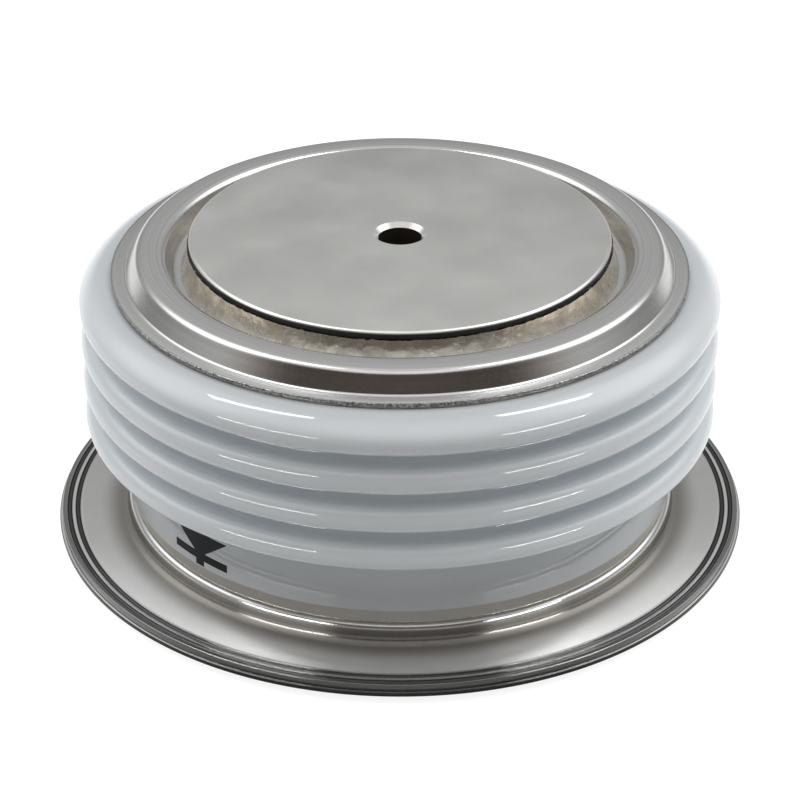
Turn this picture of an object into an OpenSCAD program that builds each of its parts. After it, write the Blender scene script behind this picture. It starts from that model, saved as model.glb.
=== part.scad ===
// Press-pack rectifier diode: ribbed ceramic ring, two pole pieces, thin metal closures
// and the wafer stack inside. Millimetres, +Z up, cathode contact face on z = 0.

/* [Overall] */
// Height over the two contact faces
total_h = 26; // [23:0.5:34]
// Diameter of each flat contact face
contact_d = 34; // [26:0.5:44]
// Rounding between a contact face and the side of its pole piece
contact_edge_r = 0.35; // [0.15:0.05:0.4]

/* [Pole pieces] */
// Diameter of the blind centring bore in each contact face
dowel_d = 3.6; // [2:0.1:6]
// Depth of the centring bore
dowel_depth = 2.2; // [1.5:0.1:3.5]
// Width of the chamfer at the mouth of the centring bore
dowel_chamfer = 0.38; // [0.1:0.02:0.8]
// How far the shoulder behind each closure sheet stands out of the pole piece
shoulder_out = 0.65; // [0.3:0.05:1]
// Thickness of that shoulder
shoulder_t = 2; // [1:0.1:3]
// How much smaller the radius of the inner end is than the contact end
inner_step = 0.75; // [0.3:0.05:1.2]
// Chamfer at the inner end
inner_chamfer = 0.5; // [0.2:0.1:1]

/* [Ceramic ring] */
// Radial gap between the side of a pole piece and the bore
bore_gap = 2.85; // [2.6:0.05:4]
// Wall thickness at the foot
wall_t = 3; // [2.5:0.1:5]
// How far the ribs stand out of the foot
rib_out = 3.25; // [2.6:0.05:4.5]
// How far the root of the grooves stands out of the foot
root_out = 1.1; // [0.5:0.05:1.4]
// Number of ribs
rib_count = 4; // [2:1:4]
// Distance from one rib to the next
rib_pitch = 3.37; // [2.75:0.01:4.1]
// Radius of the rib noses
rib_nose_r = 1.05; // [0.8:0.05:1.2]
// Depth of the first rib's centre under the top face
first_rib_drop = 1.85; // [1.7:0.05:2.4]
// Slope at which the shoulder runs into the first rib
shoulder_angle = 38; // [30:1:45]
// Fillet under the last rib
under_rib_r = 0.8; // [0.4:0.1:1]
// Height of the bare band above the foot face
bare_h = 1.2; // [0.8:0.1:1.6]
// How far the bare band tapers in
bare_taper = 0.3; // [0.1:0.05:0.5]

/* [Closure sheets] */
// How far the anode contact face stands above the diaphragm's rim
anode_rise = 2.6; // [2.1:0.1:3.5]
// Thickness of the diaphragm
diaphragm_t = 0.35; // [0.25:0.05:0.4]
// Width of the diaphragm's flat rim on the ceramic
rim_w = 1.28; // [1:0.02:1.4]
// Width of the sloping outer wall of the convolution
outer_slope_w = 1; // [0.6:0.05:1.1]
// Width of the sloping inner wall of the convolution
inner_slope_w = 0.65; // [0.3:0.05:0.8]
// Height of the convolution over the rim
wave_h = 1.65; // [1.4:0.05:2]
// How much lower the floor lies than the rim
floor_drop = 0.1; // [0:0.05:0.3]
// Width of the floor round the pole piece
floor_w = 1.4; // [1.2:0.05:1.7]
// Inside radius of the diaphragm's bends
wave_r = 0.32; // [0.1:0.02:0.36]

/* [Weld flange] */
// Gap between the cathode contact face's level and the flange
cathode_rise = 0.6; // [0.45:0.05:1.2]
// Thickness of the lower flange sheet
lower_t = 0.35; // [0.3:0.05:0.5]
// Thickness of the upper flange sheet
upper_t = 0.5; // [0.4:0.05:0.6]
// How far the lower sheet's rim stands out of the foot of the ceramic
flange_out = 6.05; // [5:0.05:9]
// How far the upper sheet's rim stays behind the lower one
rim_step = 0.25; // [0.1:0.05:0.4]
// Height of the collar over the flange
collar_h = 1.65; // [1.5:0.05:2.4]
// How far the collar stands out of the foot
collar_out = 0.1; // [0:0.05:0.3]
// Radius of the fillet where the collar meets the flange
collar_fillet_r = 0.7; // [0.4:0.05:0.8]
// Inside radius of the bend at the top of the collar
collar_bend_r = 0.05; // [0.02:0.01:0.15]
// Distance of the outer pressed groove from the upper sheet's rim
groove_in = 0.6; // [0.5:0.01:0.7]
// Distance from the outer pressed groove to the inner one
groove_pitch = 0.7; // [0.6:0.01:1]
// Radius of each pressed groove
groove_r = 0.2; // [0.12:0.02:0.22]
// Depth of each pressed groove
groove_depth = 0.18; // [0.08:0.01:0.2]
// How much the pressing raises the upper sheet's rim outside the grooves
rim_rise = 0.07; // [0:0.01:0.1]
// Rounding of that rim
rim_edge_r = 0.1; // [0.05:0.01:0.15]

/* [Joints] */
// Thickness of the braze on the ceramic faces
braze_t = 0.1; // [0.06:0.02:0.2]
// Width of the bare ceramic between the bore and the braze under the foot
braze_land = 0.4; // [0.2:0.05:0.6]
// Width of the braze meniscus at the anode
meniscus_w = 0.65; // [0.3:0.05:0.9]
// How far that meniscus ends under the rounded edge of the contact face
meniscus_under = 0.25; // [0.1:0.05:0.5]
// Radius of its hollow
meniscus_r = 3; // [2.2:0.1:5]
// Thickness of its two feathered ends
meniscus_edge = 0.1; // [0.05:0.01:0.15]
// Size of the braze fillet at the cathode
cathode_fillet = 0.25; // [0.1:0.05:0.25]

/* [Wafer stack] */
// Thickness of the silicon wafer
wafer_t = 0.45; // [0.3:0.05:0.8]
// Thickness of the carrier disc
carrier_t = 1.8; // [1:0.1:3]
// Thickness of the cathode-side disc
cathode_disc_t = 1; // [0.5:0.1:2]
// Thickness of the silver foil
foil_t = 0.15; // [0.1:0.01:0.3]
// How much wider the carrier's radius is than a pole's inner end
carrier_out = 0.9; // [0.6:0.05:1.2]
// How far the wafer's rim lies inside the carrier's
wafer_in = 0.3; // [0.2:0.05:0.5]
// Bevel of the wafer's rim
wafer_bevel = 0.4; // [0.2:0.05:0.5]
// How far the cathode-side disc and the foil lie inside a pole's inner end
disc_in = 0.8; // [0.6:0.1:1.5]
// How far the rubber round the wafer's rim hangs under the wafer
edge_hang = 0.3; // [0.2:0.05:0.4]
// Running clearance of the centring ring
ring_clearance = 0.1; // [0.05:0.01:0.2]
// Wall of the centring ring's skirt, which stands on the shoulder of the cathode pole piece
skirt_t = 1.2; // [0.8:0.1:2]
// Height of the centring ring's collar under the carrier disc
collar_under = 1.7; // [1:0.1:2.5]

/* [Hidden] */
$fn = 96;
arc_steps = 8;

nickel_plate = "silver";
braze_grey = "darkkhaki";

// Radii
pole_r = contact_d/2 + contact_edge_r;
inner_r = pole_r - inner_step;
bore_r = pole_r + bore_gap;
foot_r = bore_r + wall_t;
rib_r = foot_r + rib_out;
root_r = foot_r + root_out;
nose_c = rib_r - rib_nose_r;
groove_nose_r = rib_pitch/2 - rib_nose_r;
root_c = root_r + groove_nose_r;

// Heights of the weld flange, from the cathode face up
lower_top = cathode_rise + lower_t;
upper_top = lower_top + upper_t;
collar_top = upper_top + collar_h;
foot_z = collar_top + braze_t;

// Heights of the anode end, from the top down
rim_top = total_h - anode_rise;
head_z = rim_top - diaphragm_t - braze_t;
rib1_z = head_z - first_rib_drop;
last_rib_z = rib1_z - (rib_count - 1)*rib_pitch;

// Shoulder of the ceramic: an arc that is level at the top face and runs into the first rib
shoulder_r = (first_rib_drop - rib_nose_r*sin(shoulder_angle))/(1 - sin(shoulder_angle));
shoulder_c = [
    nose_c - (shoulder_r - rib_nose_r)*cos(shoulder_angle),
    rib1_z - (shoulder_r - rib_nose_r)*sin(shoulder_angle)
];

// Wafer stack, centred between the two ceramic faces
stack_t = cathode_disc_t + wafer_t + carrier_t + foil_t;
stack_z = (foot_z + head_z - stack_t)/2;
wafer_z = stack_z + cathode_disc_t;
carrier_z = wafer_z + wafer_t;
foil_z = carrier_z + carrier_t;
carrier_r = inner_r + carrier_out;
wafer_r = carrier_r - wafer_in;
disc_r = inner_r - disc_in;

// Middle line of the diaphragm, from its rim to the pole piece
rim_mid = rim_top - diaphragm_t/2;
diaphragm_r = shoulder_c[0];
wave_foot = diaphragm_r - rim_w;
wave_in = pole_r + floor_w;
diaphragm_path = [
    [diaphragm_r, rim_mid],
    [wave_foot, rim_mid],
    [wave_foot - outer_slope_w, rim_mid + wave_h],
    [wave_in + inner_slope_w, rim_mid + wave_h],
    [wave_in, rim_mid - floor_drop],
    [pole_r, rim_mid - floor_drop]
];
floor_top = rim_top - floor_drop;

// Middle line of the upper flange sheet, from its outer groove to under the ceramic foot
foot_land_r = bore_r + braze_land;
lower_r = foot_r + flange_out;
upper_r = lower_r - rim_step;
collar_mid = foot_r + collar_out - upper_t/2;
upper_path = [
    [upper_r - groove_in, upper_top - upper_t/2],
    [collar_mid, upper_top - upper_t/2],
    [collar_mid, collar_top - upper_t/2],
    [foot_land_r, collar_top - upper_t/2]
];

// Vectors
function unit(v) = v/norm(v);
function left(v) = [-v[1], v[0]];
function cross2(a, b) = a[0]*b[1] - a[1]*b[0];

// Direction of the stretch of a path that comes to point i, and of the one that leaves it
function before(path, i) = unit(path[max(i, 1)] - path[max(i, 1) - 1]);
function after(path, i) = before(path, min(i + 1, len(path) - 1));

// 1 where the path turns left at point i, -1 where it turns right
function hand(path, i) = cross2(before(path, i), after(path, i)) > 0 ? 1 : -1;

// Points of an arc round centre that starts in the direction from and turns by sweep
function arc(centre, from, sweep) = [
    for (k = [0 : arc_steps])
        let (a = sweep*k/arc_steps)
            centre + [from[0]*cos(a) - from[1]*sin(a), from[0]*sin(a) + from[1]*cos(a)]
];

// Arc at distance d on the left of a path's bend at point i, whose middle line has radius r
function bend(path, i, r, d) =
    let (b = left(before(path, i)), a = left(after(path, i)), h = hand(path, i))
        arc(path[i] + h*r*(a + b)/(1 + a*b), b*(d - h*r), h*acos(a*b));

// One side of a sheet, at distance d on the left of its middle line
function side(path, radii, d) =
    let (last = len(path) - 1) [
        path[0] + left(before(path, 0))*d,
        for (i = [1 : last - 1]) each bend(path, i, radii[i - 1], d),
        path[last] + left(before(path, last))*d
    ];

function reverse(points) = [for (i = [len(points) - 1 : -1 : 0]) points[i]];

// Outline of a sheet with thickness t round its middle line; radii are its inside bend radii
function sheet_outline(path, radii, t) =
    let (middle = [for (r = radii) r + t/2])
        concat(side(path, middle, t/2), reverse(side(path, middle, -t/2)));

// Half section of the ceramic: rectangles, rib noses and groove roots that meet tangentially
module ceramic_section() {
    under_z = last_rib_z - rib_nose_r;
    difference() {
        union() {
            // Wall with the tapered bare band at its foot
            polygon([
                [bore_r, foot_z], [foot_r - bare_taper, foot_z], [foot_r, foot_z + bare_h],
                [foot_r, head_z - 2*rib_nose_r], [bore_r, head_z - 2*rib_nose_r]
            ]);
            // Top land under the diaphragm
            translate([bore_r, rib1_z - rib_nose_r])
                square([shoulder_c[0] - bore_r, head_z - rib1_z + rib_nose_r]);
            // Body that the grooves are cut in
            translate([bore_r + wall_t/2, under_z])
                square([root_c - bore_r - wall_t/2, rib1_z - under_z]);
            // Fillet under the last rib
            translate([foot_r - wall_t/2, under_z - under_rib_r])
                square([wall_t/2 + under_rib_r, under_rib_r]);
            for (i = [0 : rib_count - 1]) {
                z = rib1_z - i*rib_pitch;
                translate([root_c - rib_nose_r, z - rib_nose_r])
                    square([nose_c - root_c + rib_nose_r, (i == 0 ? 1 : 2)*rib_nose_r]);
                translate([nose_c, z]) circle(r = rib_nose_r);
            }
            shoulder_section();
        }
        translate([foot_r + under_rib_r, under_z - under_rib_r]) circle(r = under_rib_r);
        for (i = [0 : rib_count - 2])
            translate([root_c, rib1_z - (i + 0.5)*rib_pitch]) circle(r = groove_nose_r);
    }
}

// Sector between the top face and the first rib
module shoulder_section() {
    reach = 2*shoulder_r;
    intersection() {
        translate(shoulder_c) circle(r = shoulder_r);
        polygon([
            shoulder_c,
            shoulder_c + reach*[cos(shoulder_angle), sin(shoulder_angle)],
            shoulder_c + reach*[0, 1]
        ]);
    }
}

module ceramic_ring() {
    color("whitesmoke") rotate_extrude() ceramic_section();
}

// A pole piece with its contact face on z = 0 and its inner end at z = h;
// seat is the distance from the contact face to the shoulder
module pole(h, seat) {
    difference() {
        union() {
            rotate_extrude() {
                // Contact end with its rounded edge
                square([pole_r - contact_edge_r, seat]);
                translate([0, contact_edge_r]) square([pole_r, seat - contact_edge_r]);
                translate([pole_r - contact_edge_r, contact_edge_r]) circle(r = contact_edge_r);
            }
            translate([0, 0, seat]) cylinder(r = pole_r + shoulder_out, h = shoulder_t);
            translate([0, 0, seat]) cylinder(r = inner_r, h = h - seat - inner_chamfer);
            translate([0, 0, h - inner_chamfer])
                cylinder(r1 = inner_r, r2 = inner_r - inner_chamfer, h = inner_chamfer);
        }
        translate([0, 0, -1]) cylinder(d = dowel_d, h = dowel_depth + 1);
        translate([0, 0, -dowel_chamfer])
            cylinder(d1 = dowel_d + 4*dowel_chamfer, d2 = dowel_d, h = 2*dowel_chamfer);
    }
}

module cathode_pole() {
    color(nickel_plate) pole(stack_z, lower_top);
}

module anode_pole() {
    color(nickel_plate)
        translate([0, 0, total_h]) mirror([0, 0, 1])
            pole(total_h - foil_z - foil_t, total_h - floor_top + diaphragm_t);
}

module anode_diaphragm() {
    bends = [wave_r, wave_r, wave_r, wave_r];
    color("gainsboro") rotate_extrude()
        polygon(sheet_outline(diaphragm_path, bends, diaphragm_t));
}

// Braze that climbs the side of the anode pole piece from the diaphragm's floor
module anode_braze() {
    low = [pole_r + meniscus_w, floor_top + meniscus_edge];
    high = [pole_r + meniscus_edge, total_h - contact_edge_r - meniscus_under];
    half = norm(high - low)/2;
    centre = (low + high)/2 - left(unit(high - low))*sqrt(meniscus_r*meniscus_r - half*half);
    color(braze_grey) rotate_extrude() difference() {
        polygon([
            [pole_r, floor_top], [pole_r + meniscus_w, floor_top], low, high, [pole_r, high[1]]
        ]);
        translate(centre) circle(r = meniscus_r);
    }
}

module head_braze() {
    color(braze_grey)
        ring(wave_foot + wave_r/2, diaphragm_r - braze_t, head_z, braze_t);
}

module foot_braze() {
    color(braze_grey)
        ring(foot_land_r, foot_r - bare_taper - braze_t, collar_top, braze_t);
}

module cathode_braze() {
    color(braze_grey) rotate_extrude() polygon([
        [pole_r, cathode_rise - cathode_fillet],
        [pole_r + cathode_fillet, cathode_rise],
        [pole_r, cathode_rise]
    ]);
}

// Flat ring between two radii
module ring(r_in, r_out, z, t) {
    translate([0, 0, z]) difference() {
        cylinder(r = r_out, h = t);
        translate([0, 0, -1]) cylinder(r = r_in, h = t + 2);
    }
}

module upper_weld_flange() {
    bends = [collar_fillet_r, collar_bend_r];
    edge_c = upper_r - rim_edge_r;
    color("gainsboro") rotate_extrude() difference() {
        polygon(concat(
            sheet_outline(upper_path, bends, upper_t),
            arc([edge_c, upper_top + rim_rise - rim_edge_r], [0, rim_edge_r], -90),
            arc([edge_c, lower_top + rim_edge_r], [rim_edge_r, 0], -90)
        ));
        for (in = [groove_in, groove_in + groove_pitch])
            translate([upper_r - in, upper_top + groove_r - groove_depth]) circle(r = groove_r);
    }
}

module lower_weld_flange() {
    color("gainsboro") ring(pole_r, lower_r, cathode_rise, lower_t);
}

module silicon_wafer() {
    color("slategray") translate([0, 0, wafer_z])
        cylinder(r1 = wafer_r - wafer_bevel, r2 = wafer_r, h = wafer_t);
}

module anode_moly_disc() {
    color("dimgray") translate([0, 0, carrier_z]) cylinder(r = carrier_r, h = carrier_t);
}

module cathode_moly_disc() {
    color("dimgray") translate([0, 0, stack_z]) cylinder(r = disc_r, h = cathode_disc_t);
}

module silver_foil() {
    color("white") translate([0, 0, foil_z]) cylinder(r = disc_r, h = foil_t);
}

// Rubber round the wafer's bevel, under the overhang of the carrier
module edge_passivation() {
    color("firebrick") rotate_extrude() difference() {
        translate([disc_r + edge_hang, wafer_z - edge_hang])
            square([carrier_r - disc_r - edge_hang, wafer_t + edge_hang]);
        polygon([
            [0, wafer_z], [wafer_r - wafer_bevel, wafer_z], [wafer_r, carrier_z], [0, carrier_z]
        ]);
    }
}

// Ring that stands on the cathode pole's shoulder and centres the carrier disc in the bore
module centring_ring() {
    r_in = inner_r + ring_clearance;
    r_out = bore_r - ring_clearance;
    r_seat = carrier_r + ring_clearance;
    z_low = lower_top + shoulder_t;
    z_seat = wafer_z - edge_hang - ring_clearance;
    z_high = carrier_z + carrier_t/2;
    color("ivory") rotate_extrude() polygon([
        [r_in, z_low], [r_in + skirt_t, z_low], [r_in + skirt_t, z_seat - collar_under],
        [r_out, z_seat - collar_under], [r_out, z_high], [r_seat, z_high],
        [r_seat, z_seat], [r_in, z_seat]
    ]);
}

ceramic_ring();
anode_pole();
cathode_pole();
anode_diaphragm();
anode_braze();
head_braze();
upper_weld_flange();
lower_weld_flange();
foot_braze();
cathode_braze();
silicon_wafer();
anode_moly_disc();
cathode_moly_disc();
silver_foil();
edge_passivation();
centring_ring();
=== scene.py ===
"""Looks of a press-pack rectifier diode: glazed ceramic, turned poles and formed sheets."""

import math

import bpy
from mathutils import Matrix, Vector


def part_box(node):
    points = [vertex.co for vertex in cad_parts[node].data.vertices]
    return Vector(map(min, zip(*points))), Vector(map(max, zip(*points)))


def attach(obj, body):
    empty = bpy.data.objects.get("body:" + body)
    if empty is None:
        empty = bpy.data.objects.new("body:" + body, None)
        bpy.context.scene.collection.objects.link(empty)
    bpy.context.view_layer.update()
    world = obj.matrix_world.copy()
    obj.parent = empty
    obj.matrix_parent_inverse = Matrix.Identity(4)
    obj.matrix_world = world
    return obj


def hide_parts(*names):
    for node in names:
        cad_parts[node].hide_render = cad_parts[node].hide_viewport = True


bl_info = {
    "name": "Press-Pack Diode",
    "version": (1, 0, 0),
    "blender": (4, 5, 0),
    "location": "View3D > Sidebar > Diode",
    "description": "Models and finishes a press-pack rectifier diode round its packed solids",
    "category": "Add Mesh",
}

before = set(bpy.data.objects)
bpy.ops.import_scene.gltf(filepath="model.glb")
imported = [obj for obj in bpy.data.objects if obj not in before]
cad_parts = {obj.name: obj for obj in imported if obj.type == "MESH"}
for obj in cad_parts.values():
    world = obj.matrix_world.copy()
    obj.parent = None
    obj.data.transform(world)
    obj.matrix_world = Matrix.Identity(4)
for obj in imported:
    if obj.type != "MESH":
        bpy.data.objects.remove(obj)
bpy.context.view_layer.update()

MM = 0.001
AROUND = 256
MERGE = 1e-7
FLOOR_WIDTH = 8.0
FLOOR_GAP = 0.02 * MM
TENT_RADIUS = 1.2
STRIP_DISTANCE = 0.8
FRAME_WIDTH = 36.0


def low(node):
    """Height of a node's lowest point."""
    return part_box(node)[0].z


def high(node):
    """Height of a node's highest point."""
    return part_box(node)[1].z


def radius(node):
    """Outer radius of a node, which is a body of revolution round Z."""
    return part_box(node)[1].x


def length(name, description, millimetres):
    """A size for the panel, given in millimetres and kept in metres."""
    return bpy.props.FloatProperty(
        name=name, description=description, default=millimetres * MM,
        min=0.0, precision=5, subtype="DISTANCE", unit="LENGTH",
    )


def turn(name, description, degrees):
    """An angle for the panel, given in degrees and kept in radians."""
    return bpy.props.FloatProperty(
        name=name, description=description, default=math.radians(degrees), subtype="ANGLE",
    )


def colour(name, description, red, green, blue):
    """A colour for the panel."""
    return bpy.props.FloatVectorProperty(
        name=name, description=description, default=(red, green, blue, 1.0),
        size=4, min=0.0, max=1.0, subtype="COLOR",
    )


def power(name, description, watts):
    """A lamp's power for the panel."""
    return bpy.props.FloatProperty(
        name=name, description=description, default=watts, min=0.0, subtype="POWER", unit="POWER",
    )


def glow(name, description, strength):
    """A brightness for the panel, where 1 is white."""
    return bpy.props.FloatProperty(
        name=name, description=description, default=strength, min=0.0, subtype="FACTOR",
    )


class CeramicSizes(bpy.types.PropertyGroup):
    """Section of the ceramic ring."""

    wall: length("Wall", "Wall thickness at the foot", 3.0)
    rib_out: length("Rib depth", "How far the ribs stand out of the foot", 3.25)
    root_out: length("Root", "How far the groove roots stand out of the foot", 1.1)
    rib_pitch: length("Rib pitch", "Distance from rib to rib", 3.37)
    rib_nose: length("Rib nose", "Radius of the rib noses", 1.05)
    first_rib: length("First rib", "Depth of the first rib's centre under the top face", 1.85)
    shoulder_angle: turn("Shoulder angle", "Slope at which the shoulder meets the first rib", 38)
    under_rib: length("Under-rib fillet", "Fillet under the last rib", 0.8)
    bare_height: length("Bare band", "Height of the unglazed band at the foot", 1.2)
    bare_taper: length("Bare taper", "How far the unglazed band tapers in", 0.3)
    glaze: length("Glaze", "Thickness of the glaze at its lower edge", 0.05)
    edge: length("Edge", "Rounding of the ring's sharp edges", 0.12)
    ribs: bpy.props.IntProperty(name="Ribs", description="Number of ribs", default=4, min=2)


class SymbolSizes(bpy.types.PropertyGroup):
    """Polarity symbol printed on the smooth band under the ribs."""

    azimuth: turn("Azimuth", "Place of the symbol round the ring, from the front", -43.7)
    half_width: length("Half width", "Half the width of triangle and bar", 3.0)
    base_height: length("Base height", "Height of the triangle's base", 7.7)
    apex_height: length("Apex height", "Height of the triangle's apex", 5.35)
    bar_height: length("Bar height", "Height of the bar's lower edge", 5.08)
    bar: length("Bar", "Thickness of the bar", 0.72)
    stub_height: length("Stub height", "Height of the lower end of the lead", 4.55)
    stub: length("Stub", "Half the width of the lead", 0.46)
    tilt: turn("Tilt", "How far the print is turned", 1.6)
    ink: length("Ink", "Thickness of the ink", 0.012)


class MetalSizes(bpy.types.PropertyGroup):
    """Sections of the pole pieces, closure sheets and brazes."""

    contact_edge: length("Contact edge", "Rounding of a contact face's rim", 0.35)
    dowel_radius: length("Dowel radius", "Radius of the centring bores", 1.8)
    dowel_depth: length("Dowel depth", "Depth of the centring bores", 2.2)
    dowel_chamfer: length("Dowel chamfer", "Chamfer at the mouth of a centring bore", 0.38)
    dowel_fillet: length("Dowel fillet", "Rounding at the bottom of a centring bore", 0.2)
    pole_shoulder: length("Pole shoulder", "How far the inner shoulder stands out", 0.65)
    pole_shoulder_height: length("Shoulder height", "Thickness of the inner shoulder", 2.0)
    pole_step: length("Pole step", "How much slimmer the inner end is", 0.75)
    pole_chamfer: length("Inner chamfer", "Chamfer of the inner end", 0.5)
    diaphragm: length("Diaphragm", "Thickness of the diaphragm sheet", 0.35)
    rim_width: length("Rim width", "Width of the diaphragm's flat rim", 1.28)
    outer_slope: length("Outer slope", "Width of the convolution's outer wall", 1.0)
    inner_slope: length("Inner slope", "Width of the convolution's inner wall", 0.65)
    wave_height: length("Convolution", "Height of the convolution over the rim", 1.65)
    floor_drop: length("Floor drop", "How much lower the floor lies than the rim", 0.1)
    floor_width: length("Floor width", "Width of the floor round the pole", 1.4)
    wave_bend: length("Convolution bend", "Inside radius of the convolution's bends", 0.32)
    flange_sheet: length("Flange sheet", "Thickness of the upper flange sheet", 0.5)
    collar_out: length("Collar", "How far the collar stands out of the ceramic foot", 0.1)
    collar_fillet: length("Collar fillet", "Fillet between flange and collar", 0.7)
    collar_bend: length("Collar bend", "Inside radius of the collar's top bend", 0.05)
    foot_land: length("Foot land", "Bare width between the bore and the foot braze", 0.4)
    groove_in: length("Groove", "Distance of the outer groove from the rim", 0.6)
    groove_pitch: length("Groove pitch", "Distance between the two grooves", 0.7)
    groove_radius: length("Groove radius", "Radius of the pressed grooves", 0.2)
    groove_depth: length("Groove depth", "Depth of the pressed grooves", 0.18)
    rim_rise: length("Rim rise", "How much the rim stands up outside the grooves", 0.07)
    rim_edge: length("Rim edge", "Rounding of the upper sheet's rim", 0.1)
    meniscus_width: length("Meniscus width", "Width of the anode braze", 0.65)
    meniscus_radius: length("Meniscus", "Radius of the braze meniscus", 3.0)
    meniscus_edge: length("Meniscus edge", "Thickness of its feathered ends", 0.1)
    sheet_edge: length("Sheet edge", "Rounding of cut sheet edges", 0.06)


class StackSizes(bpy.types.PropertyGroup):
    """Small sizes of the pieces inside the bore."""

    disc_edge: length("Disc edge", "Chamfer of the discs' rims", 0.12)
    wafer_bevel: length("Wafer bevel", "Bevel of the wafer's rim", 0.4)
    rubber_drop: length("Rubber", "How far the rubber hangs under the wafer", 0.3)
    skirt: length("Skirt", "Wall of the centring ring's skirt", 1.2)
    collar: length("Collar", "Height of the centring ring's collar", 1.7)
    plastic_edge: length("Plastic edge", "Rounding of the moulded edges", 0.15)


class FinishColours(bpy.types.PropertyGroup):
    """Colours of the finishes."""

    glaze: colour("Glaze", "White glaze of the ceramic", 0.82, 0.87, 0.90)
    bare: colour("Bare ceramic", "Unglazed ceramic at the foot", 0.50, 0.485, 0.45)
    nickel: colour("Nickel", "Satin nickel on the contact faces", 0.62, 0.62, 0.60)
    bore: colour("Bore", "Dull drilled metal in the centring bores", 0.10, 0.085, 0.07)
    sheet: colour("Sheet", "Nickel-plated sheet", 0.58, 0.585, 0.575)
    flange: colour("Flange", "Nickel-plated weld flange", 0.63, 0.63, 0.62)
    # Painted shade under the ceramic foot, tinted brown like a heat stain.
    stain_and_shade: colour("Stain", "Heat stain round the collar", 0.32, 0.305, 0.285)
    braze: colour("Braze", "Nickel-plated braze", 0.76, 0.71, 0.63)
    ink: colour("Ink", "Printing ink", 0.010, 0.012, 0.016)
    silicon: colour("Silicon", "Lapped silicon", 0.16, 0.18, 0.22)
    molybdenum: colour("Molybdenum", "Ground molybdenum", 0.40, 0.40, 0.42)
    silver: colour("Silver", "Rolled silver foil", 0.86, 0.85, 0.81)
    rubber: colour("Rubber", "Silicone rubber round the wafer", 0.42, 0.10, 0.07)
    plastic: colour("Plastic", "White plastic of the centring ring", 0.84, 0.83, 0.78)


class StudioSettings(bpy.types.PropertyGroup):
    """Tent, lamps, floor and camera of the studio."""

    tent_top: glow("Tent", "Glow of the white tent high up", 0.85)
    tent_foot: glow("Tent foot", "Glow of the tent at the floor", 0.31)
    left_softbox: glow("Left softbox", "What the left softbox adds to the tent", 1.35)
    right_softbox: glow("Right softbox", "What the right softbox adds to the tent", 1.8)
    top_softbox: glow("Top softbox", "What the softbox over the front adds to the tent", 0.3)
    grey_back: glow("Grey back", "What the tent's grey back takes from its glow", 0.10)
    backdrop: glow("Backdrop", "What the white backdrop adds low behind the object", 0.75)
    opening: glow("Opening", "How dark the tent's front opening is", 0.9)
    high_strips: power("High strips", "Narrow upright lamps high at both sides", 0.9)
    low_strips: power("Low strips", "Narrow level lamps low at the front corners", 1.5)
    shadow: glow("Shadow", "How much of the floor's white the shadow can take", 0.12)
    lens: bpy.props.FloatProperty(
        name="Lens", description="Focal length in millimetres on a 36 mm frame", default=117.0,
    )
    camera_back: length("Camera back", "Distance of the camera in front of the axis", 191.9)
    camera_height: length("Camera height", "Height of the camera over the floor", 119.2)
    camera_pitch: turn("Camera pitch", "How far the camera looks down", 29.58)


def deselect():
    """Leaves object mode with nothing selected."""
    if bpy.context.object and bpy.context.object.mode != "OBJECT":
        bpy.ops.object.mode_set(mode="OBJECT")
    bpy.ops.object.select_all(action="DESELECT")


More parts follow.
